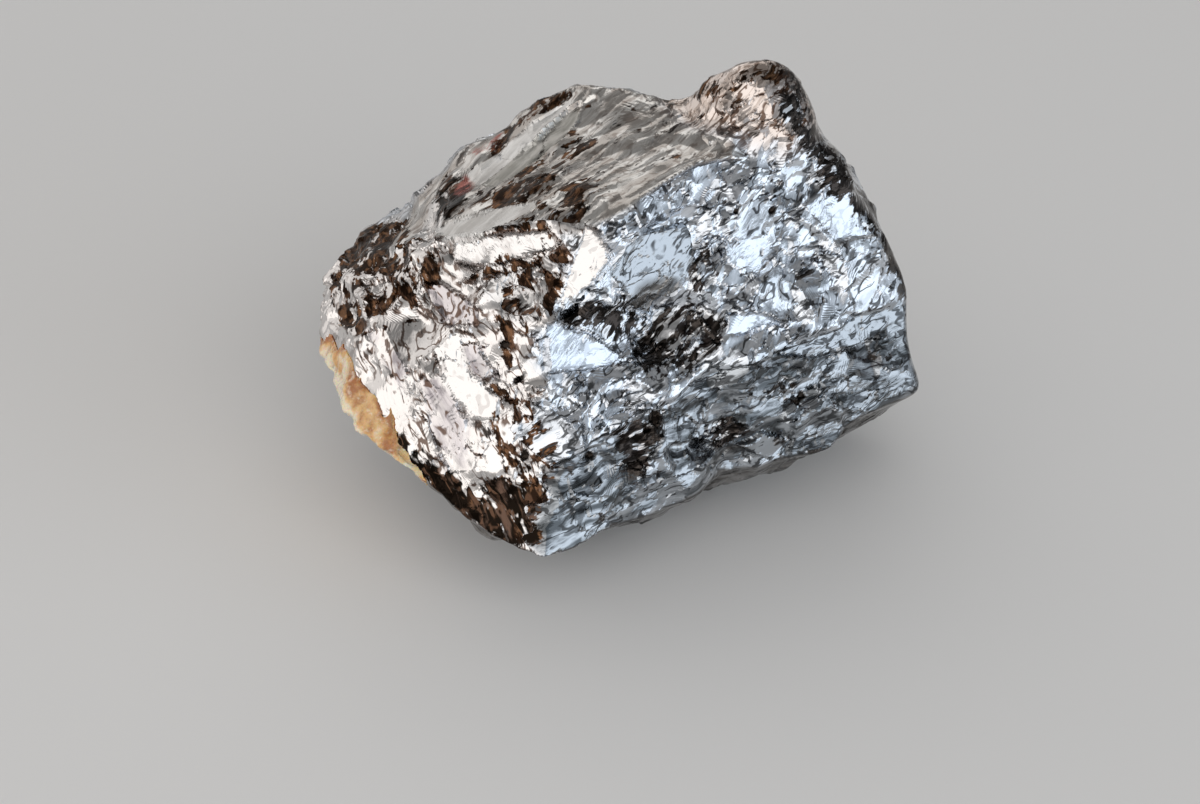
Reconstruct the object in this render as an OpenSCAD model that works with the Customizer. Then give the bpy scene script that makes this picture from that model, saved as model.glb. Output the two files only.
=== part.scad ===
// Polycrystalline silicon block: one broken lump of cast silicon that rests
// on a flat facet, with the ochre crust of the casting crucible still fused
// to its lower left edge. X runs along the long front face, Y to the back,
// Z up. All sizes in millimetres.

/* [Lump] */
// Overall length of the lump along X
length = 104; // [70:1:160]
// Overall depth of the lump along Y
width = 71; // [50:1:120]
// Overall height of the lump along Z
height = 70; // [50:1:120]

/* [Knob and hollow] */
// How far the knob stands up out of the top face
knob_rise = 9; // [4:0.5:13]
// Radius of the foot of the knob
knob_radius = 10.5; // [8:0.5:13]
// Depth of the hollow broken into the long front face
hollow_depth = 5; // [1:0.5:8]
// Radius of the mouth of that hollow
hollow_radius = 9; // [6:0.5:13]

/* [Break] */
// Spacing of the shell-shaped bowls of the broken faces
bowl_size = 11; // [8:0.5:18]
// Depth of one bowl
bowl_depth = 1.5; // [0:0.1:2.5]
// Number that picks one random layout of the bowls
layout = 7; // [1:1:99]

/* [Crust] */
// Greatest thickness of the slag crust
crust_thickness = 3; // [1.5:0.1:4.5]
// Reach of the crust along the lower left edge
crust_reach = 22; // [16:0.5:26]
// Reach of the crust up and down from that edge
crust_drop = 11; // [8:0.5:14]

/* [Hidden] */
// straight steps along each edge between two corners
steps = 8;

// Corners of the lump, [along, across, up], counted from the front tip.
C = [
  [0, 0, 15],     // 0  front tip
  [22, 1, 14],    // 1  lower edge of the long front face
  [36, 2, 16],    // 2
  [52, -1, 17],   // 3
  [73, 1, 22],    // 4  lower right corner
  [-6, 6, 16],    // 5  lower edge of the left front face
  [-15, 21, 24],  // 6
  [-17, 31, 25],  // 7
  [-11, 43, 24],  // 8
  [-6, 56, 23],   // 9  far end of that edge
  [-3, 58, 33],   // 10 top of the left end
  [8, 58, 39],    // 11
  [0, 37, 49],    // 12 left end of the ridge
  [8, 30, 53],    // 13
  [19, 21, 57],   // 14 ridge over the front edge
  [38, 24, 60],   // 15
  [57, 21, 58],   // 16
  [66, 17, 53],   // 17 right end of the ridge
  [75, 12, 37],   // 18
  [16, 53, 49],   // 19 rear edge of the top
  [33, 47, 61],   // 20 peak
  [46, 38, 60],   // 21 saddle
  [55, 31, 61],   // 22 foot of the knob
  [65, 28, 59],   // 23
  [78, 30, 43],   // 24 right end
  [85, 24, 26],   // 25
  [88, 17, 8],    // 26
  [36, 59, 48],   // 27 rear
  [60, 52, 44],   // 28
  [78, 48, 28],   // 29
  [18, 69, 24],   // 30
  [48, 68, 28],   // 31
  [10, 56, 8],    // 32 underside
  [3, 37, 9],     // 33
  [8, 18, 5],     // 34
  [53, 6, 9],     // 35
  [16, 26, 0],    // 36 rest facet
  [40, 18, 0],    // 37
  [70, 24, 0],    // 38
  [64, 48, 0],    // 39
  [28, 50, 0],    // 40
  [8, 18, 44],    // 41 front edge, upper
  [3, 12, 34],    // 42 front edge, middle
  [28, 13, 41],   // 43 long front face, inside
  [52, 11, 40],   // 44
  [24, 5, 31],    // 45
  [48, 4.5, 32],  // 46
  [-4, 14, 30],   // 47 left front face, inside
  [-3, 23, 39],   // 48
  [-8, 41, 37],   // 49
  [24, 34, 57],   // 50 top, inside
  [38, 33, 59],   // 51
  [25, 51, 56]    // 52 rear edge of the top, beside the peak
];

// Faces of the lump, each by its corners in turn.
F = [
  // long front face
  [14, 41, 43], [14, 43, 15], [15, 43, 44, 16], [16, 44, 17], [17, 44, 18],
  [41, 42, 45, 43], [43, 45, 46, 44], [44, 46, 4, 18],
  [42, 0, 1, 45], [45, 1, 2, 46], [46, 2, 3], [46, 3, 4],
  // left front face and left end
  [41, 48, 47, 42], [42, 47, 5, 0], [47, 48, 6, 5], [14, 13, 48, 41],
  [13, 12, 48], [12, 49, 6, 48], [49, 8, 7], [49, 7, 6], [49, 10, 9, 8],
  [12, 10, 49], [12, 11, 10],
  // top and knob
  [12, 19, 11], [13, 50, 19, 12], [14, 50, 13], [14, 15, 51, 50],
  [50, 51, 20, 52], [50, 52, 19], [51, 21, 20], [15, 22, 21, 51], [15, 16, 22],
  [16, 17, 23, 22],
  // right end and rear
  [17, 18, 24, 23], [18, 25, 24], [18, 4, 26, 25], [22, 23, 28, 21],
  [21, 28, 27, 20], [20, 27, 52], [52, 27, 19], [19, 27, 30, 11], [11, 30, 9, 10],
  [27, 28, 31, 30], [28, 29, 31], [23, 24, 29, 28], [24, 25, 29],
  [25, 26, 29],
  // underside and rest facet
  [30, 32, 9], [9, 32, 33, 8], [8, 33, 6, 7], [6, 33, 34, 5],
  [5, 34, 1, 0], [34, 36, 37, 1], [1, 37, 2], [34, 33, 36],
  [33, 32, 40, 36], [32, 30, 31, 40], [40, 31, 39], [39, 31, 29],
  [39, 29, 26, 38], [38, 26, 35, 37], [2, 37, 35], [2, 35, 3],
  [3, 35, 26, 4], [36, 40, 39], [36, 39, 38], [36, 38, 37]
];

// Corner k at the overall size asked for, centred over its rest facet. The
// top face is kept knob_rise below the full height.
scale3 = [length / 104, width / 71, (height - knob_rise) / 61];
function corner(k) = [(C[k].x - 36) * scale3.x, (C[k].y - 34) * scale3.y,
                      C[k].z * scale3.z];
// Middle of the lump, from which the relief is pushed out or in
core = [0, -3, height * 0.42];
knob_at = corner(22);
hollow_at = corner(43) - [0, 2, 1];
crust_at = corner(7) + [3, 5, -7.5];

function unit(v) = v / norm(v);
function clamp(t) = max(0, min(1, t));
function smooth(t) = let (c = clamp(t)) c * c * (3 - 2 * c);

// One seed point in each cell of a grid, moved about at random
NX = ceil(length / bowl_size) + 4;
NY = ceil(width / bowl_size) + 4;
NZ = ceil(height / bowl_size) + 4;
jitter = rands(0, 1, NX * NY * NZ * 3, layout);
function seed(i, j, k) =
  let (m = 3 * (i + NX * (j + NY * k)))
  [i + jitter[m], j + jitter[m + 1], k + jitter[m + 2]];
// Distance from p to the nearest seed, in spacings
function nearest(p) =
  let (q = [p.x + length / 2, p.y + width / 2, p.z] / bowl_size + [2, 2, 2],
       i = floor(q.x), j = floor(q.y), k = floor(q.z))
  min([for (a = [i - 1:i + 1], b = [j - 1:j + 1], c = [k - 1:k + 1])
       norm(q - seed(a, b, c))]);

// Relief at p: bowls with crests between them, the knob and the hollow. The
// bowls are shallower on the smoother top, and die away towards the rest
// facet, which stays flat.
function bowls(p) =
  let (r = nearest(p), top = smooth(4 * unit(p - core).z - 2.4))
  bowl_depth * (1 - 0.6 * top) * min(1, 2.6 * r * r - 0.7);
function knob(p) =
  let (d = norm([p.x - knob_at.x, p.y - knob_at.y]) / knob_radius)
  d < 1 && p.z > height / 2 ? knob_rise * pow(1 - d * d, 0.9) : 0;
function hollow(p) =
  hollow_depth * smooth(1.3 - 1.3 * norm(p - hollow_at) / hollow_radius);
function relief(p) =
  p + unit(p - core) * bowls(p) * clamp(p.z / 5)
    + [0, 0, knob(p)] + [0.1, 0.95, -0.3] * hollow(p);

// Points of one face: a grid between its three or four corners
function points(f) =
  let (a = corner(f[0]), b = corner(f[1]), c = corner(f[2]), n = steps)
  len(f) == 3
  ? [for (i = [0:n], j = [0:n - i]) relief((a * (n - i - j) + b * i + c * j) / n)]
  : let (d = corner(f[3]))
    [for (i = [0:n], j = [0:n])
      relief((a * (n - i) * (n - j) + b * i * (n - j) + c * i * j
              + d * (n - i) * j) / (n * n))];
// Number of the point in row i, place j, of a face that starts at s
function place(f, s, i, j) =
  s + j + (len(f) == 3 ? i * (steps + 1) - i * (i - 1) / 2 : i * (steps + 1));
// Triangles of one face, each seen clockwise from outside
function triangles(f, s) =
  let (n = steps)
  [for (i = [0:n - 1], j = [0:len(f) == 3 ? n - 1 - i : n - 1])
    let (a = place(f, s, i, j), b = place(f, s, i + 1, j),
         c = place(f, s, i, j + 1), d = place(f, s, i + 1, j + 1))
    each len(f) == 3
      ? (j < n - 1 - i ? [[a, c, b], [b, c, d]] : [[a, c, b]])
      : ((i + j) % 2 == 0 ? [[a, c, b], [b, c, d]] : [[a, d, b], [a, c, d]])];

function many(f) =
  len(f) == 3 ? (steps + 1) * (steps + 2) / 2 : (steps + 1) * (steps + 1);
starts = [for (k = 0, s = 0; k < len(F); s = s + many(F[k]), k = k + 1) s];
raw = [for (f = F) each points(f)];
tris = [for (k = [0:len(F) - 1]) each triangles(F[k], starts[k])];

// The outside is fitted to the overall sizes and rounded to a micron
lo = [for (a = [0:1]) min([for (p = raw) p[a]])];
hi = [for (a = [0:2]) max([for (p = raw) p[a]])];
function micron(v) = [for (c = v) round(c * 1000) / 1000];
function fitted(p) = micron([
  ((p.x - lo.x) / (hi.x - lo.x) - 0.5) * length,
  ((p.y - lo.y) / (hi.y - lo.y) - 0.5) * width,
  max(0, p.z) / hi.z * height]);
outside = [for (p = raw) fitted(p)];

// Thickness of the crust over a point of the outside, nought from its rim on
function crust(p) =
  let (q = p - crust_at,
       d = norm([q.x / crust_drop, q.y / crust_reach, q.z / crust_drop]))
  d > 1 || p.z < 1 ? 0 : crust_thickness * max(0.3, smooth(2.2 * (1 - d)));
thick = [for (p = outside) crust(p)];
inside = [for (k = [0:len(outside) - 1])
  thick[k] > 0 ? micron(outside[k] - unit(outside[k] - core) * thick[k])
               : outside[k]];

module silicon_block() {
  color([0.66, 0.68, 0.71]) polyhedron(inside, tris);
}

module slag_crust() {
  n = len(outside);
  over = [for (t = tris) if (thick[t[0]] + thick[t[1]] + thick[t[2]] > 0) t];
  under = [for (t = over) [t[0] + n, t[2] + n, t[1] + n]];
  color([0.78, 0.56, 0.3])
    polyhedron(concat(outside, inside), concat(over, under));
}

silicon_block();
slag_crust();
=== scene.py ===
import math

import bpy
import bmesh
import numpy as np
from mathutils import Matrix, Vector
from mathutils.bvhtree import BVHTree
from mathutils.kdtree import KDTree


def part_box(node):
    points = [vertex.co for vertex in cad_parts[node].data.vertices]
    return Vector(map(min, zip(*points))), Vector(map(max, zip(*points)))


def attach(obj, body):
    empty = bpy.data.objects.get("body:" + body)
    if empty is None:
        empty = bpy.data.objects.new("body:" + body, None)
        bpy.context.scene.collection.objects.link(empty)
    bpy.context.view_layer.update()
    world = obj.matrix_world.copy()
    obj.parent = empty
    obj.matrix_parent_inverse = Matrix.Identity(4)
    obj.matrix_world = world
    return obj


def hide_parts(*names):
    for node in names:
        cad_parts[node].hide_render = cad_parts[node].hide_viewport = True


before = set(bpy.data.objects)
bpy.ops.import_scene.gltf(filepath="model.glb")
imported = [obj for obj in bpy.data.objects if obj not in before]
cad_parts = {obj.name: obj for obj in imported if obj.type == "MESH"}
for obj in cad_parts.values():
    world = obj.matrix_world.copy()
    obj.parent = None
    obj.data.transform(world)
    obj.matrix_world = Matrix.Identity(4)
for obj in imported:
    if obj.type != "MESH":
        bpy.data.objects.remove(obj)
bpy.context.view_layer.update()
scene = bpy.context.scene
MM = 0.001  # lengths below are in millimetres unless a comment says otherwise


# ---------------------------------------------------------------- camera
def place_camera():
    """Long lens, above the front left corner, tilted a little to one side."""
    elevation, roll, turn = (math.radians(a) for a in (36.0, 11.5, -44.07))
    stand = Vector((-291.9, -304.5, 315.0))
    flat = Vector((-math.sin(turn), math.cos(turn), 0))
    ahead = flat * math.cos(elevation) - Vector((0, 0, math.sin(elevation)))
    right = flat.cross(Vector((0, 0, 1)))
    up = right.cross(ahead)
    x_axis = right * math.cos(roll) + up * math.sin(roll)
    y_axis = up * math.cos(roll) - right * math.sin(roll)
    cam = bpy.data.objects.new("camera", bpy.data.cameras.new("camera"))
    cam.data.sensor_width = 36.0
    cam.data.lens = 98.1
    cam.data.clip_start = 0.01
    cam.data.clip_end = 20.0
    m = Matrix((x_axis, y_axis, -ahead)).transposed().to_4x4()
    m.translation = stand * MM
    cam.matrix_world = m
    scene.collection.objects.link(cam)
    scene.camera = cam


place_camera()


# ---------------------------------------------------------------- light
WARM, COOL = (1.0, 0.97, 0.94), (0.86, 0.93, 1.0)


def panel(name, towards, distance, size, strength, colour):
    """A soft box that faces the middle of the lump. Its distance and size are in
    metres, and strength sets the radiance of its face."""
    middle = Vector((0, 0, 35 * MM))
    d = Vector(towards).normalized()
    data = bpy.data.lights.new(name, "AREA")
    data.shape = "RECTANGLE"
    data.size, data.size_y = size
    data.color = colour
    data.energy = strength * math.pi * size[0] * size[1]
    o = bpy.data.objects.new(name, data)
    o.location = middle + d * distance
    o.rotation_euler = (-d).to_track_quat("-Z", "Y").to_euler()
    scene.collection.objects.link(o)


panel("key_front", (-0.35, -0.62, 0.70), 0.7, (0.78, 0.6), 0.70, (1.0, 0.98, 0.955))
panel("over_back", (0.50, 0.62, 0.62), 0.8, (0.6, 0.34), 0.72, (1.0, 0.985, 0.96))
panel("side_left", (-0.92, 0.12, 0.32), 0.7, (0.8, 0.6), 0.63, (1.0, 0.965, 0.93))
panel("side_right", (0.60, -0.80, 0.25), 0.7, (0.7, 0.4), 0.78, COOL)


GLOWS = (  # direction, angles where the glow is full and where it ends, colour, strength
    ((-0.35, -0.62, 0.70), 13, 55, WARM, 0.66),
    ((0.60, -0.80, 0.20), 12, 56, COOL, 0.76),
    ((-0.95, 0.05, 0.30), 12, 58, WARM, 0.67),
    ((-0.35, 0.85, 0.34), 14, 54, WARM, 0.84),
    ((0.35, 0.60, 0.70), 20, 75, (1.0, 0.98, 0.95), 0.28),
)
ROOM = (0.035, 0.036, 0.038)
WALL, WALL_TOP, WALL_FADE = (0.40, 0.40, 0.40), 0.08, 0.13  # the heights are sines of elevation


def soft_world():
    """Wide soft-edged glows, as from big diffusers, over a dim room with a pale
    wall low all round, as far as the floor."""
    world = bpy.data.worlds.new("world")
    scene.world = world
    world.use_nodes = True
    tree = world.node_tree
    tree.nodes.clear()
    out = tree.nodes.new("ShaderNodeOutputWorld")
    towards = tree.nodes.new("ShaderNodeTexCoord").outputs["Generated"]

    def vector_math(op, *inputs):
        n = tree.nodes.new("ShaderNodeVectorMath")
        n.operation = op
        for sock, v in zip(n.inputs, inputs):
            if hasattr(v, "is_output"):
                tree.links.new(v, sock)
            else:
                sock.default_value = v
        return n

    def glow(direction, ends, full, colour):
        """The colour where the cosine to the direction is full, black where it is ends."""
        cosine = vector_math("DOT_PRODUCT", towards, direction).outputs["Value"]
        r = tree.nodes.new("ShaderNodeMapRange")
        r.interpolation_type = "SMOOTHSTEP"
        r.inputs["From Min"].default_value = ends
        r.inputs["From Max"].default_value = full
        tree.links.new(cosine, r.inputs["Value"])
        n = vector_math("SCALE", colour)
        tree.links.new(r.outputs["Result"], n.inputs["Scale"])
        return n.outputs[0]

    total = None
    for direction, inner, outer, colour, strength in GLOWS:
        ends, full = (math.cos(math.radians(a)) for a in (outer, inner))
        g = glow(Vector(direction).normalized(), ends, full, Vector(colour) * strength)
        total = g if total is None else vector_math("MAXIMUM", total, g).outputs[0]
    wall = glow(Vector((0, 0, 1)), WALL_FADE, WALL_TOP, Vector(WALL))
    total = vector_math("ADD", total, Vector(ROOM)).outputs[0]
    total = vector_math("MAXIMUM", total, wall).outputs[0]
    lit = tree.nodes.new("ShaderNodeBackground")
    tree.links.new(total, lit.inputs["Color"])
    tree.links.new(lit.outputs[0], out.inputs["Surface"])


soft_world()

bpy.ops.mesh.primitive_plane_add(size=4.0, location=(0, 0, 0))
floor = bpy.context.active_object
floor.name = "floor"
floor_paint = bpy.data.materials.new("floor")
floor_paint.use_nodes = True
shader = floor_paint.node_tree.nodes["Principled BSDF"]
shader.inputs["Base Color"].default_value = (0.72, 0.72, 0.72, 1)
shader.inputs["Roughness"].default_value = 0.8
floor.data.materials.append(floor_paint)

scene.view_settings.view_transform = "Standard"


# ---------------------------------------------------------------- mesh helpers
UP = np.array([0.0, 0.0, 1.0])


def unit(v):
    """Vectors at length 1."""
    return v / (np.linalg.norm(v, axis=-1, keepdims=True) + 1e-12)


def ramp(x, a, b):
    """0 as far as a, 1 from b on, smooth between."""
    t = np.clip((x - a) / (b - a), 0, 1)
    return t * t * (3 - 2 * t)


class Skin:
    """A closed triangle mesh held as arrays, in millimetres."""

    def __init__(self, mesh):
        n = len(mesh.vertices)
        self.co = np.empty(n * 3, np.float32)
        mesh.vertices.foreach_get("co", self.co)
        self.co = self.co.reshape(-1, 3).astype(float) / MM
        mesh.calc_loop_triangles()
        t = np.empty(len(mesh.loop_triangles) * 3, np.int32)
        mesh.loop_triangles.foreach_get("vertices", t)
        self.tri = t.reshape(-1, 3)
        e = np.concatenate([self.tri[:, [0, 1]], self.tri[:, [1, 2]], self.tri[:, [2, 0]]])
        self.edge = np.unique(np.sort(e, axis=1), axis=0)
        self.count = np.bincount(self.edge.ravel(), minlength=n).astype(float)[:, None]

    def mean(self, a):
        """Each point's value averaged with its neighbours'."""
        out = a.copy()
        i, j = self.edge[:, 0], self.edge[:, 1]
        for k in range(a.shape[1]):
            out[:, k] += np.bincount(i, a[j, k], len(a)) + np.bincount(j, a[i, k], len(a))
        return out / (self.count + 1)

    def normals(self, rounds=0):
        """The normal at each point, averaged with its neighbours' in rounds."""
        a, b, c = (self.co[self.tri[:, k]] for k in range(3))
        f = np.cross(b - a, c - a)
        n = np.zeros_like(self.co)
        for k in range(3):
            for m in range(3):
                n[:, m] += np.bincount(self.tri[:, k], f[:, m], len(n))
        n = unit(n)
        for _ in range(rounds):
            n = unit(self.mean(n))
        return n

    def area(self):
        a, b, c = (self.co[self.tri[:, k]] for k in range(3))
        return 0.5 * np.linalg.norm(np.cross(b - a, c - a), axis=1).sum()

    def mesh(self, name):
        m = bpy.data.meshes.new(name)
        m.from_pydata((self.co * MM).tolist(), [], self.tri.tolist())
        return m


def near(points, seeds, k, cell):
    """The k seeds nearest to the middle of each point's cell, as an index array."""
    tree = KDTree(len(seeds))
    for i, s in enumerate(seeds):
        tree.insert(s, i)
    tree.balance()
    boxes = np.floor(points / cell).astype(np.int64)
    box, back = np.unique(boxes, axis=0, return_inverse=True)
    table = np.array([[h[1] for h in tree.find_n(c, k)] for c in (box + 0.5) * cell], np.int32)
    return table[back.ravel()]


def waves(p, rng, length, count=16):
    """Smooth noise of mean 0 and spread 1: a sum of plane waves."""
    k = unit(rng.normal(size=(count, 3))) * (2 * np.pi / length)
    k = k * rng.uniform(0.6, 1.6, (count, 1))
    return np.sin(p @ k.T + rng.uniform(0, 2 * np.pi, count)).sum(1) * math.sqrt(2 / count)


NEIGHBOURS = 24      # seeds looked at for each cell
UNEVEN = 0.45        # spread of the seeds' sizes, as a power of e
CELL = 0.35          # side of a cell, in spacings
REACH = 1.5          # how far a seed reaches, in spacings
STRAIGHT = 0.6       # tilt along the flow as a share of the tilt across it


def relief_layer(skin, rng, spacing, flow, stretch, tilt, bowl, mode,
                 lift=0.0, wander=0.3, rounds=6, lean=0.0):
    """Broken facets: each seed owns a plane, tilted at random by tilt (degrees),
    sunk by a random part of lift and hollowed by bowl (1/mm). flow is the way
    they run and stretch how long they are for their width. lean turns their
    faces upward, so that side faces catch the lamps. 'scoop' takes the lowest
    plane at each point, so facets meet in ridges; 'plate' takes the nearest
    seed's, so they meet in steps. Returns the height."""
    nrm = skin.normals(rounds)
    count = int(skin.area() / spacing ** 2)
    pick = rng.choice(len(skin.co), count, replace=False)
    s, n = skin.co[pick], nrm[pick]
    along = flow(s, n) + wander * rng.normal(size=s.shape)
    along = unit(along - n * (along * n).sum(1, keepdims=True))
    side = np.cross(n, along)
    t = np.tan(np.radians(np.clip(np.abs(rng.normal(0, 1, count)), 0, 1.8) * tilt(s, n)))
    phi = rng.uniform(0, 2 * np.pi, count)
    up = UP - n * n[:, 2:]
    # more of it at the left end, towards the back
    lean = lean * (1 + 1.6 * ramp(-s[:, :1], 33, 38) * ramp(s[:, 1:2], -4, 4))
    grad = along * np.cos(phi)[:, None] * STRAIGHT + side * np.sin(phi)[:, None]
    grad = grad * t[:, None] - up * lean
    st = stretch(s, n)
    weight = np.exp(UNEVEN * rng.normal(size=count))
    off = -lift * rng.exponential(1.0, count) if mode == "scoop" else rng.normal(0, lift, count)
    owner = near(skin.co, s, NEIGHBOURS, CELL * spacing)
    q = skin.co[:, None, :] - s[owner]
    d_side = (q * side[owner]).sum(-1)
    d_along = (q * along[owner]).sum(-1)
    d_up = (q * n[owner]).sum(-1)
    d2 = ((d_along / st[owner]) ** 2 + d_side ** 2 + d_up ** 2) / weight[owner] ** 2
    value = (q * grad[owner]).sum(-1) + off[owner]
    # a seed's reach ends well inside the ones looked at, so no facet is cut off
    far = np.maximum(0.0, np.sqrt((q * q).sum(-1)) / spacing - REACH) ** 2
    if mode == "scoop":
        value = value + d2 * bowl + far * spacing
        best = value.argmin(1)
    else:
        best = (d2 + far * spacing ** 2 * 4).argmin(1)
    return value[np.arange(len(best)), best]


# ---------------------------------------------------------------- the lump
LUMP_VOXEL, CRUST_VOXEL = 0.35, 0.28  # face width of the even meshes
LUMP_FACES = 190000                   # triangles that are left of the lump's
LUMP_SHARP, CRUST_SHARP = 11, 30      # degrees from which an edge is drawn sharp
LUMP_SEED, CRUST_SEED = 11, 5
KNOB = np.array([20.3, 2.0, 61.0])    # its middle and its reach along each axis
KNOB_REACH = (13, 15, 14)

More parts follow.
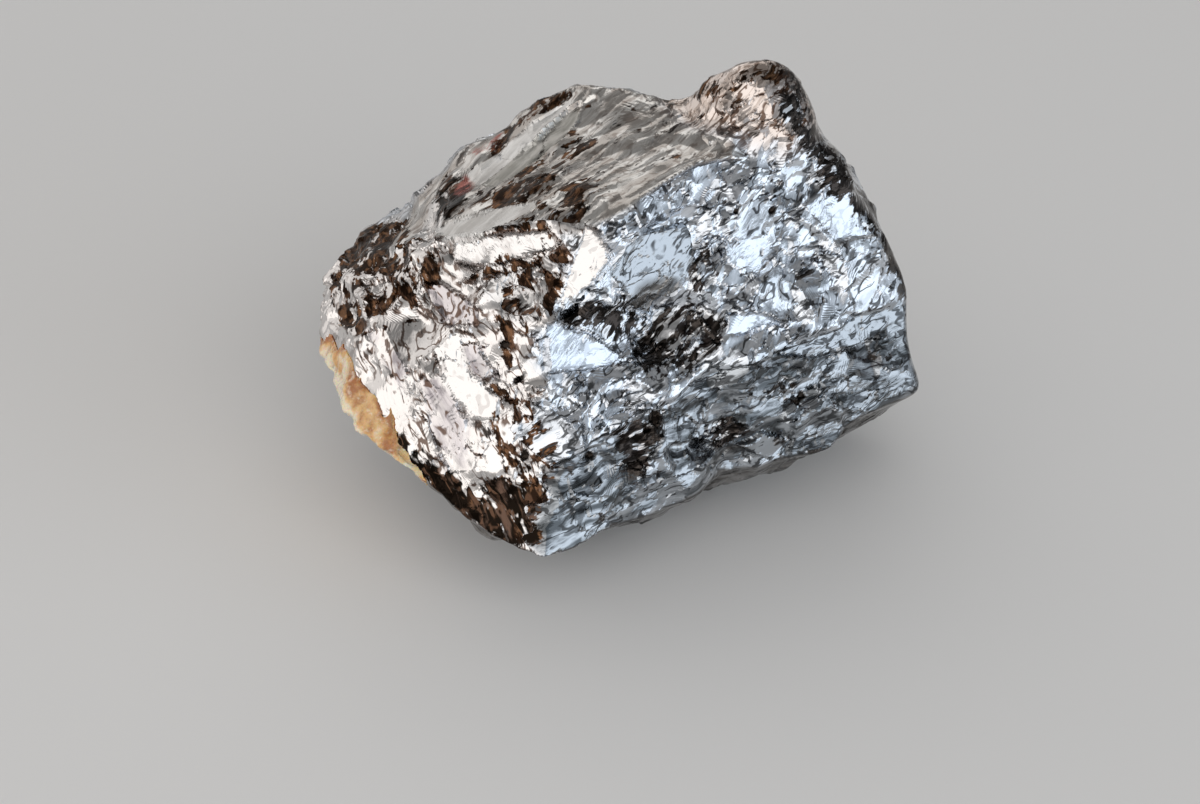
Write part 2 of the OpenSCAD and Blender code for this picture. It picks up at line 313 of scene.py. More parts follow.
# Patches that stand out: kind, how flat it is cut, corners round the edge
PATCHES = (
    # right of the front ridge
    ("white", 1.0, ((-19, -12, 55.5), (-17.5, -14, 54.5), (-16, -16, 50.5), (-19, -16.5, 48),
        (-25.5, -16.5, 44.5), (-22.5, -14.5, 50))),
    ("bright", 1.0, ((-28, -17, 43.5), (-22.5, -18, 41.5), (-16, -22, 38), (-16, -23, 36.5),
        (-22, -22.5, 37), (-29, -21, 37.5))),
    ("dark", 0.6, ((-26, -17, 43.5), (-19.5, -17, 45), (-12.5, -18.5, 42.5), (-7.5, -17.5, 37.5),
        (-15, -21.5, 38), (-20.5, -19, 40.5))),
    ("dark", 0.0, ((-13.5, -21.5, 37), (-6.5, -17.5, 38), (-1.5, -19, 42), (2, -23, 39),
        (0.5, -26, 36.5), (-4.5, -25.5, 33.5), (-12.5, -25.5, 34))),
    ("steel", 0.7, ((-17, -16.5, 49), (-10.5, -15, 53), (-1, -15, 52), (0, -18, 47), (-4.5, -18, 43),
        (-13, -19, 44.5))),
    ("bright", 1.0, ((4.5, -17, 48.5), (11.5, -18, 49), (14, -20, 46.5), (9.5, -21.5, 44),
        (4.5, -19, 46))),
    ("bright", 0.8, ((20.5, -17.5, 51.5), (29.5, -16.5, 54), (40.5, -13, 43), (35.5, -20.5, 43.5),
        (25.5, -21.5, 45.5))),
    ("dark", 0.5, ((1.5, -16.5, 49.5), (3, -16.5, 49), (2.5, -19.5, 44.5), (1, -19, 44.5))),
    # bright needles over the dark of the hollow
    ("white", 1.0, ((-2.5, -18.9, 40.7), (-1.2, -19.4, 40.6), (0.8, -25.7, 37.4),
        (-0.4, -25.6, 36.7))),
    ("bright", 1.0, ((2.9, -22.7, 39.8), (9.1, -23.8, 38.9), (12.8, -25.6, 36.2), (4.7, -26, 37.6),
        (1.2, -25.2, 37.7))),
    ("steel", 0.8, ((9.5, -27.5, 33.5), (21.5, -27.5, 34), (38, -25, 34), (39, -27, 31.5),
        (28, -28.5, 30), (15, -29, 31.5))),
    ("steel", 1.0, ((2, -33, 21.5), (7, -32.5, 22.5), (13, -33, 19.5), (9, -33.5, 17))),
    ("dark", 0.6, ((-21, -27.5, 29.5), (-15.5, -28, 30), (-13.5, -30.5, 26.5), (-16, -31, 22),
        (-19.5, -29.5, 23.5))),
    # left of it
    ("lilac", 0.9, ((-38, 0.5, 42.5), (-36, -2.5, 44), (-35, -10.5, 43.5), (-35, -11.5, 41.5),
        (-38, -8.5, 40), (-38, -3.5, 40.5))),
    ("lilac", 0.9, ((-45, 3, 34), (-43.5, -0.5, 36), (-44.5, -8, 33.5), (-45.5, -8, 31.5),
        (-45.5, -1.5, 32.5))),
    ("lilac", 0.9, ((-38, -11, 38.5), (-36, -12.5, 39.5), (-35, -17, 36), (-37.5, -16.5, 34.5),
        (-39, -13.5, 36))),
    ("lilac", 0.9, ((-43.5, -10, 33.5), (-41.5, -12, 35), (-40.5, -18, 30.5), (-41.5, -22, 24),
        (-43.5, -20, 23), (-44, -15, 27.5))),
    ("white", 0.9, ((-41, -8.5, 37), (-37.5, -9.5, 40), (-38, -15, 36), (-35, -18.5, 33.5),
        (-36.5, -21, 31), (-40, -18.5, 30.5), (-41.5, -13.5, 34))),
    ("white", 0.9, ((-33.5, 0, 48.5), (-23, -9, 53.5), (-22, -11.5, 52), (-30, -7.5, 48),
        (-34.5, -2, 46.5))),
    ("brown", 0.5, ((-35, -4.5, 45), (-29.5, -7, 49), (-24, -10.5, 50.5), (-25, -11, 49),
        (-32, -8.5, 46.5))),
    ("brown", 0.0, ((-36.5, 23.5, 33.5), (-31, 24.5, 37.5), (-30, 17, 41.5), (-39, 9.5, 40.5),
        (-40, 19, 32))),
    ("brown", 0.0, ((-42, -24, 20), (-37, -29.5, 18.5), (-36.5, -32.5, 15.5), (-39.5, -29, 16),
        (-42.5, -25, 18))),
    ("brown", 0.3, ((-31.5, -10, 45.5), (-29.5, -10.5, 46.5), (-32, -17.5, 38), (-33.5, -17.5, 36.5),
        (-33.5, -14.5, 42))),
    ("brown", 0.0, ((-48.5, -15.5, 23.5), (-45, -20.5, 20.5), (-41.5, -26, 17.5), (-36.5, -33, 15),
        (-38, -32, 15.5), (-45.5, -18, 23))),
    ("brown", 0.0, ((-37.5, 3.5, 44), (-34.5, 1, 48.5), (-36.5, -2.5, 43), (-39, 0, 41))),
    ("mottle", 0.0, ((-36.5, 23.5, 33.5), (-31.5, 24.5, 37.5), (-29.5, 17.5, 41.5), (-36.5, 0.5, 45.5),
        (-42.5, -2.5, 36.5), (-45.5, 5, 30.5), (-41.5, 17.5, 28.5))),
    ("mottle", 0.0, ((-45, -20.5, 20), (-39.5, -24.5, 23.5), (-33, -28, 25.5), (-34.5, -34, 15.5),
        (-39, -29.5, 16))),
    ("mottle", 0.0, ((-36, -17, 34.5), (-32, -22, 34), (-29.5, -27.5, 28), (-33, -30, 21.5),
        (-38, -24.5, 25))),
    ("mottle", 0.0, ((-29, -0.5, 51), (-20, -2.5, 55), (-12.5, -8, 56.5), (-17.5, -13.5, 56),
        (-22, -10.5, 53.5), (-28.5, -4.5, 51.5))),
    ("mottle", 0.0, ((-31, -9.5, 46), (-25, -10.5, 49.5), (-21, -12.5, 54), (-24.5, -16, 46),
        (-27.5, -17, 44), (-32, -18, 38.5))),
    # near black: painted shade along the lower left edge
    ("stain_and_shade", 0.0, ((-48.5, -13, 26.5), (-45.5, -17, 24.8), (-42, -22, 23), (-39, -24.5, 23.6),
        (-35.3, -28.4, 23), (-34.5, -33, 15.5), (-41, -28.8, 15.4), (-50, -13.6, 23.5))),
    # dark strokes low on the long front face
    ("dark", 0.5, ((-16, -29, 28), (-11.5, -29, 31), (-11.5, -30, 28), (-13.5, -30.5, 25.5))),
    ("dark", 0.5, ((-4.5, -31.5, 24), (1.5, -31, 26), (4, -32.5, 24), (-1.5, -32.5, 21))),
    ("dark", 0.4, ((2.5, -30, 30), (11.5, -30, 29.5), (14.5, -31, 27), (6, -31, 28))),
    ("dark", 0.4, ((-18, -17.5, 44.5), (-11, -18.5, 44), (-7, -16.5, 40.5), (-17.5, -18, 43))),
    ("dark", 0.4, ((-2, -18.5, 46.5), (0, -18, 47), (-1, -21.5, 38.5), (-1.5, -19, 41))),
    ("dark", 0.3, ((20.5, -11.5, 62), (25, -11.5, 60), (38, -14, 45), (42, -17, 38), (45, -20, 30),
        (43, -22, 30), (39, -24, 36), (37.5, -23, 37), (31.5, -19, 47), (23.5, -15.5, 55.5))),
    # on top
    ("mottle", 0.0, ((-30, 3, 50), (-20, 10, 52), (-8, 10, 57), (-6, 2, 57), (-12, -7, 56.5),
        (-18, -6, 55), (-26, -1, 52))),
    ("mirror", 1.0, ((-22.7, 8, 50.3), (-18, 8.8, 51.6), (-12.2, 9.1, 55.8), (-5.8, 10.7, 58.1),
        (-3.4, 10.1, 59.2), (-5.7, 7.3, 57.8), (-10.6, 5.6, 57), (-13.8, 5.8, 54.7),
        (-19.2, 4.9, 53), (-22.1, 5.7, 51.5))),
    ("plain", 1.0, ((-34.1, 4.1, 48.1), (-32, 4.1, 49.3), (-26.2, 0.7, 51.1), (-23.8, -1.4, 52.8),
        (-21.4, -3.6, 54.8), (-22.5, -5.2, 54.8), (-26.4, -4.8, 53.4), (-29.2, -3.5, 51),
        (-31.6, -1.5, 49.2), (-33.8, 0.4, 48.5))),
    ("plain", 0.35, ((-21.6, 13.6, 49.1), (-16.2, 12.8, 51.5), (-11, 12, 56), (-6, 11.8, 58.3),
        (-3, 10.7, 59.6), (-5.8, 10.7, 58.1), (-12.2, 9.1, 55.8), (-18, 8.8, 51.6), (-22.7, 8, 50.3))),
    ("brown", 0.0, ((-17, 15.5, 51), (-13.6, 17.5, 52.5), (-10, 16.5, 55.5), (-6.3, 15, 58),
        (-2.5, 12, 60.2), (-4.8, 11.6, 58.8), (-9.6, 12.2, 56.8), (-12.9, 12.6, 54.8),
        (-16.7, 13.3, 51))),
    # near black: a dark stain by the rear edge
    ("stain_and_shade", 0.0, ((-23.6, 16.5, 47), (-21.8, 12.5, 49.1), (-26.6, 5.4, 50), (-31.7, 3.8, 49.4),
        (-30.2, 9, 47))),
    ("brown", 0.0, ((-24, 3.5, 51), (-16.5, 2, 54.5), (-15.5, -1.5, 55.5), (-22.5, -4, 54.5),
        (-25.5, -0.5, 52))),
    ("brown", 0.0, ((-20.5, -4.5, 55), (-14.5, -4.5, 56), (-13, -7.5, 56.5), (-18.5, -9, 56))),
    ("red", 0.0, ((-19.5, 16.5, 49.5), (-16, 16, 52), (-13.5, 16, 53), (-15.5, 14, 52.5),
        (-18.5, 15, 50))),
    ("red", 0.0, ((-25, 12, 49), (-21, 13.5, 49), (-22.5, 10.5, 49.5), (-26, 8, 49.5))),
    # on the knob
    ("dark", 0.6, ((19.5, -8.5, 66), (23.5, -8, 65.5), (23, -11, 62), (20, -12, 61.5),
        (18.5, -10.5, 64))),
    ("bright", 0.8, ((20, -9, 65.5), (22.5, -8.5, 65.5), (23, -10.5, 63), (20.5, -11, 63.5))),
    ("brown", 0.0, ((11.5, 2.5, 60.5), (13.5, 1, 65), (12.5, -2, 65.5), (10.5, -1.5, 62.5))),
)

# The crisp lower edge of the front, from the crust round the tip to the right end
LOWER_EDGE = (
    (-50, -13.4, 23.9), (-41, -28.4, 16), (-35, -34.4, 15), (-13.2, -33.4, 14), (0.7, -32.4, 16),
    (16.6, -35.4, 16.9), (37.5, -33.4, 21.9), (52, -17, 8),
)

# The smooth rounded edge at the right end of the front, down from the knob
RIGHT_EDGE = (
    (22, -2, 70), (24.3, -8, 65), (25.2, -11, 61), (31, -12.5, 55), (37, -12, 48), (38.3, -15, 44.5),
    (38.5, -22.5, 38.8), (40, -24.5, 35.5), (38.7, -27.4, 30.7), (38, -33.4, 23.2),
)

# The rear left edge of the top
REAR_EDGE = (
    (-33, 12, 42.5), (-28, 14.6, 44.5), (-20.6, 15.3, 49.1), (-14.2, 15.2, 53.1), (-8.3, 13.9, 57.2),
    (-2.9, 11.7, 60),
)

# Which way some patches face: towards the eye and a light by halves
AIMS = {"white": (-0.47, -0.62, 0.63), "bright": (0.02, -0.87, 0.50)}

# Pits: centre and radius
PITS = (
    (7.5, -15.5, 52.5, 1.0), (15, -13.5, 56.5, 0.6), (14, -16.5, 51, 1.1), (-13, -29, 29.5, 1.3),
    (-14.5, -29.5, 28, 1.1), (-3.5, -29.5, 29, 1.0), (13, -30.5, 28.5, 1.0), (39, -26.5, 32.5, 0.8),
    (7, -27.5, 34.5, 1.0), (21, -24.5, 38, 0.8), (12, -11, 59, 0.5), (35, -22.5, 38.5, 0.8),
    (-14, -25, 34, 1.0), (11.5, -19.5, 47, 0.8), (19.5, -19.5, 48.5, 0.8), (-24.5, -28.5, 26, 1.1),
    (14, -31.5, 26, 1.1), (-37.5, 0.5, 43, 1.0), (-33.5, -15.5, 40, 1.0), (-32.5, -19, 36, 1.1),
    (-47, -15.5, 24.5, 1.0), (-34.5, -25.5, 27, 1.1), (-32.5, -28, 25.5, 1.0),
)


def welded(node):
    """A copy of a CAD node's mesh, its doubled corners joined. The caller frees it."""
    bm = bmesh.new()
    bm.from_mesh(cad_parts[node].data)
    bmesh.ops.remove_doubles(bm, verts=bm.verts, dist=1e-6)
    return bm


def even_copy(name, node, voxel):
    """A new object: the node's shape as an even mesh with faces about voxel wide."""
    mesh = bpy.data.meshes.new(name)
    bm = welded(node)
    bm.to_mesh(mesh)
    bm.free()
    obj = bpy.data.objects.new(name, mesh)
    scene.collection.objects.link(obj)
    mod = obj.modifiers.new("remesh", "REMESH")
    mod.mode = "VOXEL"
    mod.voxel_size = voxel * MM
    obj.data = applied(obj)
    return obj


def applied(obj):
    """The object's mesh with its modifiers, which are then removed."""
    bpy.context.view_layer.update()
    graph = bpy.context.evaluated_depsgraph_get()
    mesh = bpy.data.meshes.new_from_object(obj.evaluated_get(graph))
    obj.modifiers.clear()
    return mesh


def paint(mesh, name, values):
    """Keeps a value of each point, for the material."""
    data = mesh.attributes.new(name, "FLOAT", "POINT").data
    data.foreach_set("value", values.astype(np.float32))


def hollowness(skin, rounds):
    """How deep each point lies below the smoothed skin, in mm."""
    flat = skin.co.copy()
    for _ in range(rounds):
        flat = skin.mean(flat)
    return ((flat - skin.co) * skin.normals(1)).sum(1)


def away(p, node):
    """Distance from each point to the surface of a CAD node, or 99 past 5 mm off its box."""
    bm = welded(node)
    tree = BVHTree.FromBMesh(bm)
    bm.free()
    lo, hi = (np.array(c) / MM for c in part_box(node))
    out = np.full(len(p), 99.0)
    inside = np.all((p > lo - 5) & (p < hi + 5), axis=1)
    for i in np.nonzero(inside)[0]:
        out[i] = (tree.find_nearest(p[i] * MM)[3] or 0.0) / MM
    return out


def to_line(p, points):
    """Distance of each point from a bent line."""
    best = np.full(len(p), 1e9)
    for a, b in zip(points[:-1], points[1:]):
        a, b = np.array(a, float), np.array(b, float)
        t = np.clip((p - a) @ (b - a) / ((b - a) @ (b - a)), 0, 1)
        best = np.minimum(best, np.linalg.norm(p - a - t[:, None] * (b - a), axis=1))
    return best


def patch_reach(p, n, corners):
    """How far each point is inside the patch's edge (mm, less than 0 outside), the
    patch's middle and the normal of its plane."""
    corners = np.array(corners, float)
    c = corners.mean(0)
    axes = np.linalg.svd(corners - c)[2]
    inner = np.full(len(p), -99.0)
    reach = np.linalg.norm(corners - c, axis=1).max() + 3
    rows = np.nonzero(np.linalg.norm(p - c, axis=1) < reach)[0]
    q = (p[rows] - c) @ axes.T
    if (n[rows] @ axes[2]).mean() < 0:
        axes[2] *= -1
        q[:, 2] *= -1
    flat = (corners - c) @ axes.T
    x, y = q[:, 0], q[:, 1]
    far, odd = np.full(len(rows), 99.0), np.zeros(len(rows), bool)
    for a, b in zip(flat[:, :2], np.roll(flat[:, :2], -1, axis=0)):
        e, w = b - a, q[:, :2] - a
        off = w - np.clip(w @ e / (e @ e), 0, 1)[:, None] * e
        far = np.minimum(far, np.linalg.norm(off, axis=1))
        if a[1] != b[1]:
            crossing = (b[0] - a[0]) * (y - a[1]) / (b[1] - a[1]) + a[0]
            odd ^= ((a[1] > y) != (b[1] > y)) & (x < crossing)
    inner[rows] = np.where(np.abs(q[:, 2]) < 5, np.where(odd, far, -far), -99.0)
    return inner, c, axes[2]


def front_ridge(z):
    """Where the long front face meets the left one, as x at the height z."""
    return np.interp(z, [15, 34, 44, 57], [-35.3, -32, -27, -16.5])


def fold(p):
    """Height of the fold across the long front face."""
    return np.interp(p[:, 0], [-36, -30, -15, -3, 17, 38, 52], [24, 26.5, 30, 33.5, 34.5, 33, 32])


# The regions of the lump, each from 0 outside to 1 inside, by place p and normal n
def is_knob(p):
    return ramp(-np.linalg.norm((p - KNOB) / KNOB_REACH, axis=1), -1.15, -0.9)


def is_top(p, n):
    rear = np.interp(p[:, 0], [-20, -3, 10, 19], [22, 15, 7, 1])
    up = np.maximum(ramp(n[:, 2], 0.70, 0.88), ramp(-to_line(p, REAR_EDGE), -4.5, -2.0))
    return up * ramp(p[:, 2], 35, 42) * ramp(rear - p[:, 1], -1.5, 1.5) * (1 - is_knob(p))


def is_left(p, n):
    split = front_ridge(p[:, 2])
    split = split + 1.8 * np.sin(p[:, 2] * 0.55 + 1) + 1.1 * np.sin(p[:, 2] * 1.27 + p[:, 0] * 0.6)
    return ramp(split - p[:, 0], -1.0, 1.0) * (1 - is_top(p, n))


def is_low(p, n):
    return ramp(fold(p) - p[:, 2], -0.5, 0.7) * ramp(-n[:, 1], 0.3, 0.5) * (1 - is_left(p, n))


def flow(p, n):
    """The way the breaks run."""
    t, l, b = is_top(p, n)[:, None], is_left(p, n)[:, None], is_low(p, n)[:, None]
    front, low, over, down = (np.array(v) for v in (
        (0.85, 0.1, 0.5), (0.97, 0.0, 0.12), (0.95, 0.18, 0.2), (0.1, -0.8, -0.6)))
    return t * over + (1 - t) * (l * down + (1 - l) * (b * low + (1 - b) * front))


def everywhere(value, more_on_top=0.0):
    """A value for each seed, which may differ on the top."""
    return lambda p, n: value + more_on_top * is_top(p, n)


def build_lump():
    """The CAD solid as an even skin, with ever finer layers of relief on it."""
    obj = even_copy("silicon_lump", "silicon_block", LUMP_VOXEL)
    skin = Skin(obj.data)
    rng = np.random.default_rng(LUMP_SEED)
    lo, hi = (np.array(c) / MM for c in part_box("silicon_block"))
    # the front ridge and the right edge are smoothed, so that their facets stand out
    skin.co = skin.mean(skin.co)
    x, z = skin.co[:, 0], skin.co[:, 2]
    crease = np.exp(-((x - front_ridge(z)) / 5) ** 2) * ramp(z, 17, 24)
    crease = np.maximum(crease, 0.9 * np.exp(-(to_line(skin.co, RIGHT_EDGE) / 6.0) ** 2))
    for _ in range(50):
        skin.co += (skin.mean(skin.co) - skin.co) * crease[:, None]

    base, base_n = skin.co.copy(), skin.normals(14)
    top, left, knob = is_top(base, base_n), is_left(base, base_n), is_knob(base)
    low = is_low(base, base_n)
    flank = ramp(-to_line(base, RIGHT_EDGE[:8]), -5, 0) * (1 - top)
    rear = ramp(base_n[:, 1], -0.1, 0.3) * (1 - top)
    # faces that turn down, which the material paints darker as shade
    below = ramp(-base_n[:, 2], 0.02, 0.28) * (0.35 + 0.65 * ramp(-base[:, 1], 2, 14))
    calm = np.maximum(top, 0.5 * knob)
    # how much relief each place takes: none on the rest facet and under the crust
    gap = away(base, "slag_crust")
    rim = np.exp(-(to_line(base, LOWER_EDGE) / 3.0) ** 2)
    side = np.exp(-(to_line(base, RIGHT_EDGE) / 6.0) ** 2)
    edge = ramp(base[:, 2], 0.3, 3.0) * ramp(gap, 0.4, 3.0) * (1 - 0.6 * ramp(base[:, 0], 33, 46))
    edge *= (1 - 0.4 * ramp(-base_n[:, 2], 0.1, 0.4)) * (1 - 0.65 * rim) * (1 - 0.8 * side)

    def push(h, amount, rounds):
        skin.co += skin.normals(rounds) * (h * edge * amount)[:, None]

    # shells
    h = relief_layer(skin, rng, 7.0, flow, everywhere(2.0, 1.0), everywhere(10, -6), 0.03, "scoop",
                     lift=0.35, wander=0.3, lean=0.10)
    push(np.clip(h - h.mean(), -1.6, 1.3), 1.0 - 0.5 * top - 0.85 * knob, 8)
    # the fold across the long front face, sharper above and undercut below
    under = fold(base) - base[:, 2]
    skin.co -= base_n * (1.1 * low * np.exp(-np.maximum(under, 0) / 4.0) * edge)[:, None]
    # patches and pits
    inner = {}
    quiet = np.zeros(len(base))
    for kind, flatness, corners in PATCHES:
        d, c, axis = patch_reach(skin.co, base_n, corners)
        if kind in AIMS:
            axis = unit(axis * 0.35 + unit(np.array(AIMS[kind])) * 0.65)
        w = ramp(d, -0.1, 0.3) * flatness * edge
        skin.co -= axis * (((skin.co - c) @ axis) * w)[:, None]
        quiet = np.maximum(quiet, ramp(d, 0.0, 0.8) * flatness)
        inner[kind] = np.maximum(inner.get(kind, -99.0), d)
    inner["pit"] = np.full(len(base), -99.0)
    for *c, r in PITS:
        q = skin.co - c
        axis = unit(np.array([0.8, 0.1, 0.4 + 0.4 * rng.normal()]))
        q -= axis * (q @ [0.8, 0.1, 0.4] * 0.45)[:, None]
        ragged = np.clip(1 + 0.35 * waves(skin.co, rng, 2.0), 0.6, 2)
        d = 0.62 * r - np.linalg.norm(q, axis=1) * ragged
        skin.co -= base_n * (np.clip(1.1 * d, 0, r))[:, None]
        inner["pit"] = np.maximum(inner["pit"], d)
    loud = (1 - 0.85 * quiet) * (1 - 0.3 * left)
    # ripples of the top
    along = unit(np.array([0.96, 0.18, 0.20]))
    drawn = base - (base @ along * 0.88)[:, None] * along
    h = 0.26 * np.abs(waves(drawn, rng, 7.0)) + 0.10 * np.abs(waves(drawn, rng, 2.6))
    push(h - h.mean(), top * loud, 8)
    # bumps of the knob
    h = relief_layer(skin, rng, 2.8, flow, everywhere(1.2), everywhere(13.0), 0.06, "scoop",
                     lift=0.15, rounds=4)
    push(h - h.mean(), 0.55 * knob, 5)
    # flakes
    where = 0.25 + 0.75 * ramp(waves(base, rng, 17), -0.6, 0.4)
    h = relief_layer(skin, rng, 3.2, flow, everywhere(2.4, 1.2), everywhere(11, -7), 0.05, "scoop",
                     lift=0.2, wander=0.35, lean=0.14)
    push(h - h.mean(), where * (1 - 0.7 * calm) * loud * (1 - 0.3 * low), 5)
    # steps
    where = ramp(waves(base, rng, 11), -0.5, 0.3)
    h = relief_layer(skin, rng, 2.2, flow, everywhere(3.0, 1.5), everywhere(7, -5), 0.0, "plate",
                     lift=0.05, lean=0.24, rounds=4)
    push(np.clip(h, -0.6, 0.6), where * (1 - 0.85 * calm) * loud, 4)
    # chips
    where = ramp(waves(base, rng, 8), 0.0, 0.9)
    h = relief_layer(skin, rng, 1.3, flow, everywhere(2.6, 1.0), everywhere(15, -10), 0.12, "scoop",
                     lift=0.06, lean=0.10, rounds=3)
    where = where * (1 - 0.5 * calm) * (1 - 0.8 * top) * loud
    push(h - h.mean(), where * (0.95 - 0.15 * left) * (1 - 0.2 * low), 3)
    skin.co = np.clip(skin.co, lo, hi)

    # the short faces under each step, which the material paints dark as shade
    smooth_n = skin.normals(12)
    rise = UP * (1 - top)[:, None] + np.array([-0.2, 1.0, 0.0]) * top[:, None]
    rise = unit(rise - smooth_n * (rise * smooth_n).sum(1, keepdims=True))
    lip = -((skin.normals() - smooth_n) * rise).sum(1)
    mesh = skin.mesh("silicon_lump")
    for name, values in (("cavity", hollowness(skin, 8) / 0.4), ("lip", lip), ("below", below),
                         ("rear", rear), ("top", top), ("left", left), ("knob", knob), ("low", low),
                         ("flank", flank)):
        paint(mesh, name, values)
    for kind, d in inner.items():
        paint(mesh, kind, ramp(d, -1.6, 1.6))
    obj.data = mesh
    mod = obj.modifiers.new("fewer", "DECIMATE")
    mod.ratio = min(1.0, LUMP_FACES / len(skin.tri))
    obj.data = applied(obj)
    obj.data.shade_smooth()
    obj.data.set_sharp_from_angle(angle=math.radians(LUMP_SHARP))
    return obj


lump = build_lump()


# ---------------------------------------------------------------- materials
class Term:
    """A number that a node gives, for use in formulas."""

    def __init__(self, nodes, socket):
        self.nodes, self.socket = nodes, socket

    def __add__(self, other):
        return self.nodes.math("ADD", self, other)

    def __sub__(self, other):
        return self.nodes.math("SUBTRACT", self, other)

    def __rsub__(self, other):
        return self.nodes.math("SUBTRACT", other, self)

    def __mul__(self, other):
        return self.nodes.math("MULTIPLY", self, other)


class Nodes:
    """Shorthand for building a node tree. Vectors and colours are plain sockets."""

    def __init__(self, material):
        material.use_nodes = True
        self.tree = material.node_tree
        self.shader = self.tree.nodes["Principled BSDF"]

    def put(self, socket, v):
        """Links or writes v into an input socket."""
        if isinstance(v, Term):
            v = v.socket
        if hasattr(v, "is_output"):
            self.tree.links.new(v, socket)
        elif isinstance(v, (int, float)):
            socket.default_value = v
        else:
            socket.default_value = tuple(v)

    def math(self, op, *inputs):
        n = self.tree.nodes.new("ShaderNodeMath")
        n.operation = op
        for socket, v in zip(n.inputs, inputs):
            self.put(socket, v)
        return Term(self, n.outputs[0])

    def most(self, a, b):
        return self.math("MAXIMUM", a, b)

    def vec(self, op, a, b=None):
        n = self.tree.nodes.new("ShaderNodeVectorMath")
        n.operation = op
        self.put(n.inputs[0], a)
        if b is not None:
            self.put(n.inputs["Scale" if op == "SCALE" else 1], b)
        return Term(self, n.outputs["Value"]) if op == "DOT_PRODUCT" else n.outputs[0]

    def step(self, v, a, b, c=0.0, d=1.0):
        """From c where v is at a to d where it is at b, smoothly."""
        n = self.tree.nodes.new("ShaderNodeMapRange")
        n.interpolation_type = "SMOOTHSTEP"
        for name, x in zip(("Value", "From Min", "From Max", "To Min", "To Max"), (v, a, b, c, d)):
            self.put(n.inputs[name], x)
        return Term(self, n.outputs["Result"])

    def mix(self, f, a, b):
        """Colour a where f is 0, b where it is 1."""
        n = self.tree.nodes.new("ShaderNodeMix")
        n.data_type = "RGBA"
        self.put(n.inputs["Factor"], f)
        for socket, v in zip((n.inputs[6], n.inputs[7]), (a, b)):
            self.put(socket, v if hasattr(v, "is_output") else (*v, 1.0))
        return n.outputs[2]

    def shade(self, v, a, b, first, second):
        """From the colour first where v is at a to second where it is at b, smoothly."""
        return self.mix(self.step(v, a, b), first, second)

    def blend(self, f, a, b):
        """Vector a where f is 0, b where it is 1."""
        n = self.tree.nodes.new("ShaderNodeMix")
        n.data_type = "VECTOR"
        for socket, v in zip((n.inputs["Factor"], n.inputs[4], n.inputs[5]), (f, a, b)):
            self.put(socket, v)
        return n.outputs[1]

    def attribute(self, name):
        n = self.tree.nodes.new("ShaderNodeAttribute")
        n.attribute_name = name
        return Term(self, n.outputs["Fac"])

    def place(self):
        return self.tree.nodes.new("ShaderNodeTexCoord").outputs["Object"]

    def noise(self, v, scale, detail=3.0, rough=0.55):
        return Term(self, self.noise_node(v, scale, detail, rough).outputs["Fac"])

    def noise_node(self, v, scale, detail, rough=0.55):
        n = self.tree.nodes.new("ShaderNodeTexNoise")
        for name, x in (("Vector", v), ("Scale", scale), ("Detail", detail), ("Roughness", rough)):
            self.put(n.inputs[name], x)
        return n

    def cell_colour(self, v, scale):
        """A random colour for each cell, less the mean."""
        n = self.tree.nodes.new("ShaderNodeTexVoronoi")
        self.put(n.inputs["Vector"], v)
        self.put(n.inputs["Scale"], scale)
        return self.vec("SUBTRACT", n.outputs["Color"], (0.5, 0.5, 0.5))

    def bump(self, height, normal=None):
        """Relief of a height in metres, into the shader."""
        n = self.tree.nodes.new("ShaderNodeBump")
        for name, v in (("Strength", 1.0), ("Distance", 1.0), ("Height", height)):
            self.put(n.inputs[name], v)
        if normal is not None:
            self.put(n.inputs["Normal"], normal)
        self.put(self.shader.inputs["Normal"], n.outputs["Normal"])


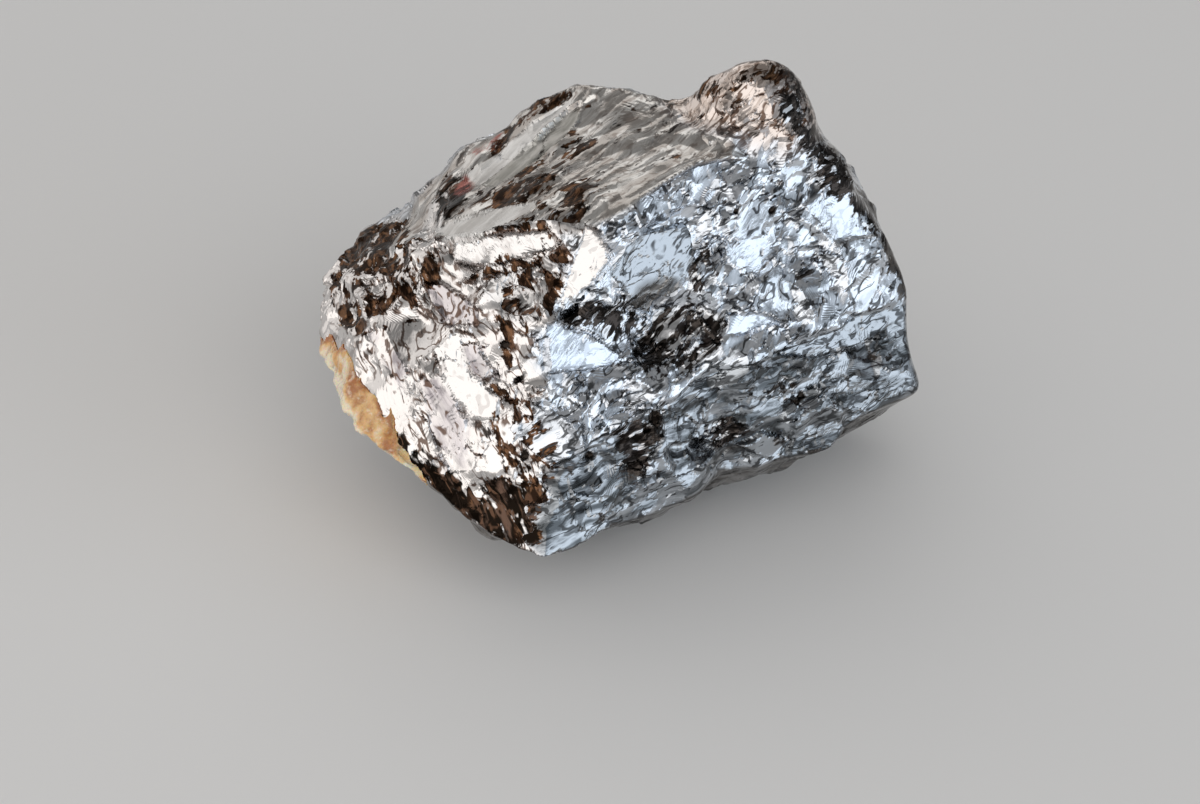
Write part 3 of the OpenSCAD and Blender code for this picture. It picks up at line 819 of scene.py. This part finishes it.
def silicon_material():
    m = bpy.data.materials.new("silicon")
    t = Nodes(m)
    p = t.place()
    cavity, lip, pit, top, left, knob, low, flank, below, rear = (t.attribute(k) for k in (
        "cavity", "lip", "pit", "top", "left", "knob", "low", "flank", "below", "rear"))
    wobble = t.vec("SUBTRACT", t.noise_node(p, 120.0, 2.0).outputs["Color"], (0.5, 0.5, 0.5))
    warped = t.vec("ADD", p, t.vec("SCALE", wobble, 0.004))
    # the way the breaks run
    run = t.blend(t.step(low, 0.48, 0.52), (0.86, 0.10, 0.50), (0.99, 0.0, 0.12))
    run = t.blend(t.step(left, 0.48, 0.52), run, (0.10, -0.79, -0.60))
    run = t.blend(t.step(top, 0.48, 0.52), run, (0.96, 0.18, 0.20))

    def drawn_out(share):
        """The place less a share of the way along the run: what is read there comes out
        long that way and short across it."""
        along = t.vec("DOT_PRODUCT", warped, run) * share
        return t.vec("SUBTRACT", warped, t.vec("SCALE", run, along))

    half, drawn, long = drawn_out(0.6), drawn_out(0.85), drawn_out(0.93)
    ragged = (t.noise(half, 340.0, 5.0, 0.7) - 0.52) * 3.2

    def patch(name, soft=0.08, rough=1.0):
        """1 inside the patches of a kind, with a ragged edge."""
        return t.step(t.attribute(name) + ragged * rough, 0.5 - soft, 0.5 + soft)

    # relief too fine for the mesh: slightly turned chips, hackle and combed lines
    turned = t.tree.nodes.new("ShaderNodeNewGeometry").outputs["Normal"]
    busy = t.step(t.noise(p, 150.0, 3.0, 0.6), 0.49, 0.65) * (1 - left * 0.35) * (1 - top * 0.7)
    for scale, lean in ((700.0, 0.15), (1600.0, 0.17)):
        turned = t.vec("ADD", turned, t.vec("SCALE", t.cell_colour(half, scale), busy * lean))
    turned = t.vec("ADD", turned, t.vec("SCALE", (0.0, 0.0, 0.10), 1 - top))
    turned = t.vec("NORMALIZE", turned)
    comb = t.math("SINE", t.vec("DOT_PRODUCT", warped, t.cell_colour(warped, 260.0)) * 24000.0)
    height = comb * t.step(t.noise(p, 210.0, 2.0), 0.52, 0.62) * 0.00001
    some = t.step(t.noise(p, 190.0, 2.0), 0.42, 0.62, 0.2, 1.0) * (1 - top * 0.4)
    height = height + t.noise(drawn, 1500.0, 3.0, 0.6) * some * 0.00010
    t.bump(height, turned)

    # the silicon by region; painted light on the left face, painted shade and dark reflections below
    # the fold and on the back
    streak, grain = t.noise(drawn, 700.0, 3.0, 0.6), t.noise(long, 520.0, 4.0, 0.6)
    flecks, strokes = t.noise(half, 1100.0, 3.0, 0.6), t.noise(drawn, 900.0, 2.0)
    colour = t.shade(streak, 0.34, 0.56, (0.56, 0.60, 0.65), (0.74, 0.78, 0.84))
    # the band below the fold: streaked silicon tone, with painted shade in darker patches where it
    # turns down
    colour = t.mix(low * t.step(t.noise(drawn, 160.0, 3.0), 0.30, 0.48, 0.35, 1.0), colour,
                   t.shade(grain, 0.38, 0.60, (0.085, 0.093, 0.10), (0.45, 0.48, 0.515)))
    # painted dark reflections: darker facets in patches on the back
    colour = t.mix(rear * t.step(t.noise(drawn, 190.0, 3.0, 0.6), 0.47, 0.58, 0.0, 0.85), colour,
                   t.shade(grain, 0.38, 0.60, (0.16, 0.175, 0.19), (0.42, 0.45, 0.485)))
    # painted light: the whole left face an even warm near-white, as the lit side
    colour = t.mix(left, colour, (0.80, 0.77, 0.755))
    colour = t.mix(top, colour,
                   t.shade(grain, 0.40, 0.60, (0.44, 0.41, 0.385), (0.70, 0.685, 0.665)))
    colour = t.mix(knob, colour,
                   t.shade(streak, 0.40, 0.55, (0.46, 0.39, 0.35), (0.70, 0.625, 0.585)))
    colour = t.mix(patch("steel", 0.08, 0.35), colour, (0.42, 0.45, 0.485))
    veil = patch("lilac", 0.3, 0.8) * t.step(t.noise(half, 260.0, 3.0), 0.36, 0.52)
    colour = t.mix(veil, colour,
                   t.shade(grain, 0.42, 0.58, (0.30, 0.275, 0.29), (0.62, 0.585, 0.595)))
    colour = t.mix(patch("white", 0.2, 0.4), colour, (0.76, 0.74, 0.73))
    colour = t.mix(patch("bright", 0.2, 0.4), colour, (0.68, 0.73, 0.80))
    # brown tarnish; near-black patches: painted shade along the lower left edge, a dark stain on the
    # top
    film = t.noise(half, 420.0, 4.0, 0.65)
    brown = t.most(knob * t.step(film, 0.54, 0.58), top * t.step(film, 0.63, 0.66))
    brown = t.most(brown, patch("brown") * t.step(film, 0.40, 0.46))
    spots = t.step(t.noise(half, 520.0, 3.0, 0.6) - top * 0.045, 0.48, 0.52)
    brown = t.most(brown, spots * patch("mottle"))
    colour = t.mix(brown, colour,
                   t.shade(flecks, 0.46, 0.66, (0.020, 0.011, 0.007), (0.17, 0.088, 0.047)))
    # painted shade at the lower left edge, a dark stain on the top
    stain_and_shade_mask = patch("stain_and_shade", 0.15, 1.0) * t.step(t.noise(half, 380.0, 3.0, 0.6), 0.62, 0.57)
    colour = t.mix(stain_and_shade_mask, colour,
                   t.shade(grain, 0.52, 0.64, (0.010, 0.007, 0.005), (0.11, 0.068, 0.050)))
    # painted shade: thin dark lines on the short faces under each step and where one break runs out
    # under the next
    shade_colour = t.mix(t.most(left, t.most(top, knob)), (0.045, 0.047, 0.05), (0.10, 0.055, 0.035))
    thin = t.step(t.noise(half, 560.0, 3.0, 0.55) - top * 0.03, 0.645, 0.668)
    for v, scale in ((half, 300.0), (drawn, 430.0)):
        curl = t.math("ABSOLUTE", t.noise(v, scale, 2.0, 0.5) - 0.5)
        shown = t.step(t.noise(p, scale * 0.8, 2.0) + low * 0.05, 0.49, 0.56)
        thin = t.most(thin, shown * t.step(curl, 0.014, 0.03, 1.0, 0.0))
    under = t.step(lip, 0.25, 0.42) * (0.9 - rear * 0.4)
    clean = t.step(t.most(t.attribute("white"), t.attribute("bright")), 0.4, 0.7)
    lines = t.most(under, thin * (0.9 - rear * 0.5)) * (1 - clean * 0.75) * (1 - top * 0.5)
    colour = t.mix(lines, colour, shade_colour)
    # the satin facets of the top, the pink spots
    plain, olive = patch("plain", 0.1, 0.4), patch("mirror", 0.1, 0.4)
    colour = t.mix(plain * 0.9, colour,
                   t.shade(grain, 0.38, 0.58, (0.60, 0.59, 0.575), (0.76, 0.755, 0.745)))
    colour = t.mix(olive * 0.92, colour,
                   t.shade(grain, 0.40, 0.66, (0.30, 0.297, 0.275), (0.56, 0.55, 0.525)))
    colour = t.mix(patch("red", 0.25, 0.8) * 0.75, colour, (0.42, 0.16, 0.14))
    # painted shade and dark reflections: dark hollows with bright strokes, the dark right edge, the
    # darker underside, the pits
    # painted shade: near black over the hollows and crevices of the dark patches
    dark = t.shade(flecks, 0.44, 0.54, (0.012, 0.010, 0.009), (0.052, 0.044, 0.040))
    dark = t.mix(t.step(strokes, 0.57, 0.62), dark, (0.62, 0.63, 0.65))
    colour = t.mix(patch("dark", 0.12, 1.3), colour, dark)
    # painted dark reflection: a dark band down the right flank
    edge = t.step(flank + ragged * 1.1, 0.40, 0.75) * t.step(strokes, 0.40, 0.54)
    colour = t.mix(edge, colour, (0.10, 0.09, 0.082))
    # painted shade: darker on the faces that turn down, most at the front
    colour = t.mix(below * 0.85, colour,
                   t.shade(grain, 0.40, 0.62, (0.045, 0.04, 0.036), (0.24, 0.23, 0.22)))
    # painted shade: near black in the pits and the deepest hollows
    pits = t.most(t.step(cavity, 0.8, 1.5, 0.0, 0.8), t.step(pit, 0.5, 0.62))
    colour = t.mix(pits, colour, (0.025, 0.02, 0.017))
    rough = t.step(t.noise(p, 300.0, 3.0), 0.4, 0.7, 0.07, 0.18)
    rough = rough + top * 0.08 + t.most(olive, plain) * 0.16
    for name, v in (("Base Color", colour), ("Metallic", 1.0), ("Roughness", rough)):
        t.put(t.shader.inputs[name], v)
    return m


lump.data.materials.clear()
lump.data.materials.append(silicon_material())
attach(lump, "root")
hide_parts("silicon_block")


# ---------------------------------------------------------------- the crust
def build_crust():
    """Lumpy glassy slag: a swollen skin with grains on it."""
    obj = even_copy("crust", "slag_crust", CRUST_VOXEL)
    skin = Skin(obj.data)
    rng = np.random.default_rng(CRUST_SEED)
    lo, hi = (np.array(c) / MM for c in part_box("slag_crust"))
    for _ in range(4):
        skin.co = skin.mean(skin.co)
    base = skin.co.copy()
    n = skin.normals(4)
    thick = away(base, "silicon_block")
    lumps = 0.22 * waves(base, rng, 6) + 0.13 * waves(base, rng, 2.8)
    lumps = lumps + 0.05 * waves(base, rng, 1.4)
    skin.co += n * ((0.2 + lumps) * ramp(thick, 0.0, 1.0))[:, None]
    # thinner at the two places where the photo's outline lies further in
    y = base[:, 1]
    thin = ramp(y, 4, 8) + ramp(-y, 2, 6) * (1 - ramp(-y, 13, 17))
    skin.co -= n * (np.minimum(2.2, 0.65 * np.maximum(thick - 0.3, 0)) * thin)[:, None]
    h = relief_layer(skin, rng, 2.0, lambda p, n: np.tile([0.3, -0.8, -0.4], (len(p), 1)),
                     everywhere(1.4), everywhere(10.0), 0.1, "scoop", lift=0.1, rounds=3)
    skin.co += skin.normals(3) * (0.7 * (h - h.mean()))[:, None]
    skin.co = np.clip(skin.co, lo, hi)
    mesh = skin.mesh("crust")
    paint(mesh, "cavity", hollowness(skin, 10) / 0.3)
    paint(mesh, "thick", ramp(thick, 0.3, 2.4))
    obj.data = mesh
    obj.data.shade_smooth()
    obj.data.set_sharp_from_angle(angle=math.radians(CRUST_SHARP))
    return obj


def crust_material():
    m = bpy.data.materials.new("slag")
    t = Nodes(m)
    p = t.place()
    big, fine = t.noise(p, 220.0, 4.0, 0.6), t.noise(p, 800.0, 4.0, 0.65)
    pale = t.attribute("thick") * 1.7 + (big - 0.5) * 2.2
    colour = t.shade(pale, -0.2, 0.2, (0.42, 0.16, 0.04), (0.78, 0.49, 0.21))
    colour = t.mix(t.step(pale, 0.1, 0.5), colour, (0.86, 0.76, 0.58))
    # painted shade: deeper brown in the crust's hollows
    colour = t.mix(t.step(t.attribute("cavity"), 0.0, 0.9, 0.0, 0.8), colour, (0.45, 0.17, 0.04))
    colour = t.mix(t.step(fine, 0.56, 0.70, 0.0, 0.5), colour, (0.95, 0.88, 0.74))
    for name, v in (("Base Color", colour), ("Roughness", t.step(fine, 0.3, 0.7, 0.15, 0.40)),
                    ("Subsurface Weight", 0.5), ("Subsurface Radius", (1.0, 0.45, 0.15)),
                    ("Subsurface Scale", 0.0007), ("Coat Weight", 0.5), ("Coat Roughness", 0.08)):
        t.put(t.shader.inputs[name], v)
    t.bump(fine * 0.0004)
    return m


crust = build_crust()
crust.data.materials.clear()
crust.data.materials.append(crust_material())
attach(crust, "root")
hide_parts("slag_crust")
